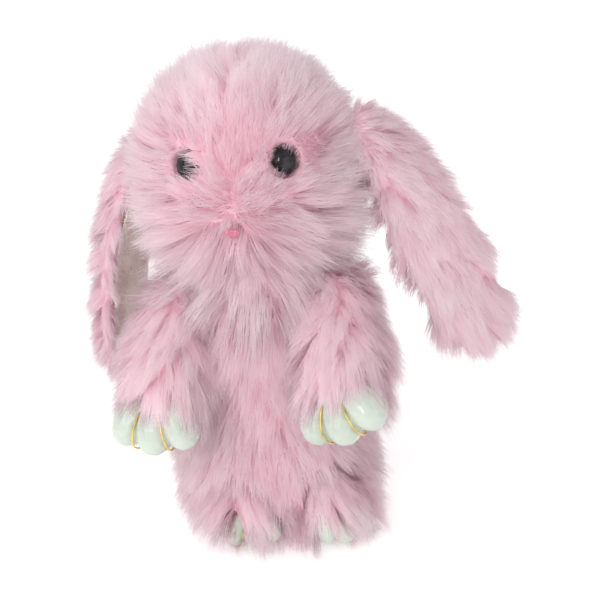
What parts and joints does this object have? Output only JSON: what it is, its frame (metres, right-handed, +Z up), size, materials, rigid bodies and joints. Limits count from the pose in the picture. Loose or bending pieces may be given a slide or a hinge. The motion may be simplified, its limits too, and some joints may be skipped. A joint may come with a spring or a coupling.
{
  "type": "plush rabbit keychain",
  "caption": "Long-pile plush lop-eared rabbit with hard glossy paws and feet, and a key chain with split ring and swivel clasp at its back.",
  "frame": {"origin": "middle of the flat seat under the body, at the level of the surface it stands on", "axes": "+Z up through the head, face towards -Y, the rabbit's own left side towards +X"},
  "size_m": [0.1383, 0.0969, 0.1615],
  "materials": {
    "pink_fur": "long silky pile, pale pink with deeper pink partings",
    "cream_cloth": "smooth short-nap cloth",
    "fibre_filling": "loose fibre",
    "black_plastic": "high gloss",
    "washer_plastic": "moulded",
    "nose_thread": "satin stitch",
    "white_plastic": "glossy moulded, faint mint tint",
    "gold_line": "bright gold line",
    "pink_webbing": "woven ribbon",
    "gold_metal": "bright plated",
    "spring_steel": "bright drawn wire"
  },
  "bodies": {
    "torso": {"body_fur": "pink_fur", "body_filling": "fibre_filling", "tail": "pink_fur"},
    "neck": {"neck_filling": "fibre_filling"},
    "head": {"head_fur": "pink_fur", "head_filling": "fibre_filling", "eye_left": "black_plastic", "eye_right": "black_plastic", "eye_washer_left": "washer_plastic", "eye_washer_right": "washer_plastic", "nose": "nose_thread", "mouth_stitch": "nose_thread", "hanging_strap": "pink_webbing"},
    "ear_left": {"ear_left_fur": "pink_fur", "ear_left_lining": "cream_cloth"},
    "ear_right": {"ear_right_fur": "pink_fur", "ear_right_lining": "cream_cloth"},
    "arm_left": {"arm_left_fur": "pink_fur", "arm_left_filling": "fibre_filling", "paw_left": "white_plastic", "paw_left_inner_line": "gold_line", "paw_left_outer_line": "gold_line"},
    "arm_right": {"arm_right_fur": "pink_fur", "arm_right_filling": "fibre_filling", "paw_right": "white_plastic", "paw_right_inner_line": "gold_line", "paw_right_outer_line": "gold_line"},
    "leg_left": {"leg_left_fur": "pink_fur", "leg_left_filling": "fibre_filling", "foot_left": "white_plastic", "foot_left_inner_line": "gold_line", "foot_left_outer_line": "gold_line"},
    "leg_right": {"leg_right_fur": "pink_fur", "leg_right_filling": "fibre_filling", "foot_right": "white_plastic", "foot_right_inner_line": "gold_line", "foot_right_outer_line": "gold_line"},
    "jump_ring": {"jump_ring": "gold_metal"},
    "link_1": {"chain_link_1": "gold_metal"},
    "link_2": {"chain_link_2": "gold_metal"},
    "link_3": {"chain_link_3": "gold_metal"},
    "split_ring": {"split_ring": "gold_metal"},
    "swivel": {"swivel_eye": "gold_metal"},
    "clasp": {"clasp_body": "gold_metal", "clasp_pin": "gold_metal", "clasp_spring": "spring_steel"},
    "trigger": {"clasp_trigger": "gold_metal"}
  },
  "joints": [
    {"name": "neck_turn", "type": "hinge", "parent": "torso", "child": "neck", "pos_m": [0, 0, 0.092], "axis": [0, 0, 1], "range_deg": [-30, 30], "stiffness_Nm_per_rad": 0.15},
    {"name": "neck_nod", "type": "hinge", "parent": "neck", "child": "head", "pos_m": [0, 0, 0.092], "axis": [1, 0, 0], "range_deg": [-9, 12], "stiffness_Nm_per_rad": 0.5},
    {"name": "ear_left_swing", "type": "hinge", "parent": "head", "child": "ear_left", "pos_m": [0.029, 0.004, 0.141], "axis": [0, -1, 0], "range_deg": [-4, 55], "stiffness_Nm_per_rad": 0.08},
    {"name": "ear_right_swing", "type": "hinge", "parent": "head", "child": "ear_right", "pos_m": [-0.028, 0.013, 0.134], "axis": [0, 1, 0], "range_deg": [-2, 70], "stiffness_Nm_per_rad": 0.08},
    {"name": "arm_left_swing", "type": "hinge", "parent": "torso", "child": "arm_left", "pos_m": [0.026, -0.009, 0.085], "axis": [-1, 0, 0], "range_deg": [-6, 70], "stiffness_Nm_per_rad": 0.2},
    {"name": "arm_right_swing", "type": "hinge", "parent": "torso", "child": "arm_right", "pos_m": [-0.026, -0.009, 0.084], "axis": [-1, 0, 0], "range_deg": [-6, 70], "stiffness_Nm_per_rad": 0.2},
    {"name": "leg_left_swing", "type": "hinge", "parent": "torso", "child": "leg_left", "pos_m": [0.018, -0.012, 0.016], "axis": [-1, 0, 0], "range_deg": [-4, 35], "stiffness_Nm_per_rad": 0.12},
    {"name": "leg_right_swing", "type": "hinge", "parent": "torso", "child": "leg_right", "pos_m": [-0.0095, -0.013, 0.016], "axis": [-1, 0, 0], "range_deg": [-4, 35], "stiffness_Nm_per_rad": 0.12},
    {"name": "jump_ring_swing", "type": "hinge", "parent": "head", "child": "jump_ring", "pos_m": [0, 0.041, 0.1233], "axis": [1, 0, 0], "range_deg": [0, 110]},
    {"name": "link_1_swing", "type": "hinge", "parent": "jump_ring", "child": "link_1", "pos_m": [0, 0.041, 0.1103], "axis": [1, 0, 0], "range_deg": [0, 40]},
    {"name": "link_2_swing", "type": "hinge", "parent": "link_1", "child": "link_2", "pos_m": [0, 0.041, 0.1044], "axis": [0, 1, 0], "range_deg": [-40, 40]},
    {"name": "link_3_swing", "type": "hinge", "parent": "link_2", "child": "link_3", "pos_m": [0, 0.041, 0.0984], "axis": [1, 0, 0], "range_deg": [0, 40]},
    {"name": "split_ring_swing", "type": "hinge", "parent": "link_3", "child": "split_ring", "pos_m": [0, 0.041, 0.0924], "axis": [0, 1, 0], "range_deg": [-35, 35]},
    {"name": "swivel_swing", "type": "hinge", "parent": "split_ring", "child": "swivel", "pos_m": [0, 0.041, 0.0697], "axis": [1, 0, 0], "range_deg": [0, 40]},
    {"name": "clasp_swivel", "type": "hinge", "parent": "swivel", "child": "clasp", "pos_m": [0, 0.041, 0.0595], "axis": [0, 0, 1], "continuous": true},
    {"name": "trigger_press", "type": "hinge", "parent": "clasp", "child": "trigger", "pos_m": [0.0056, 0.041, 0.0541], "axis": [0, 1, 0], "range_deg": [0, 22], "stiffness_Nm_per_rad": 0.03, "springref_deg": -17.19}
  ]
}
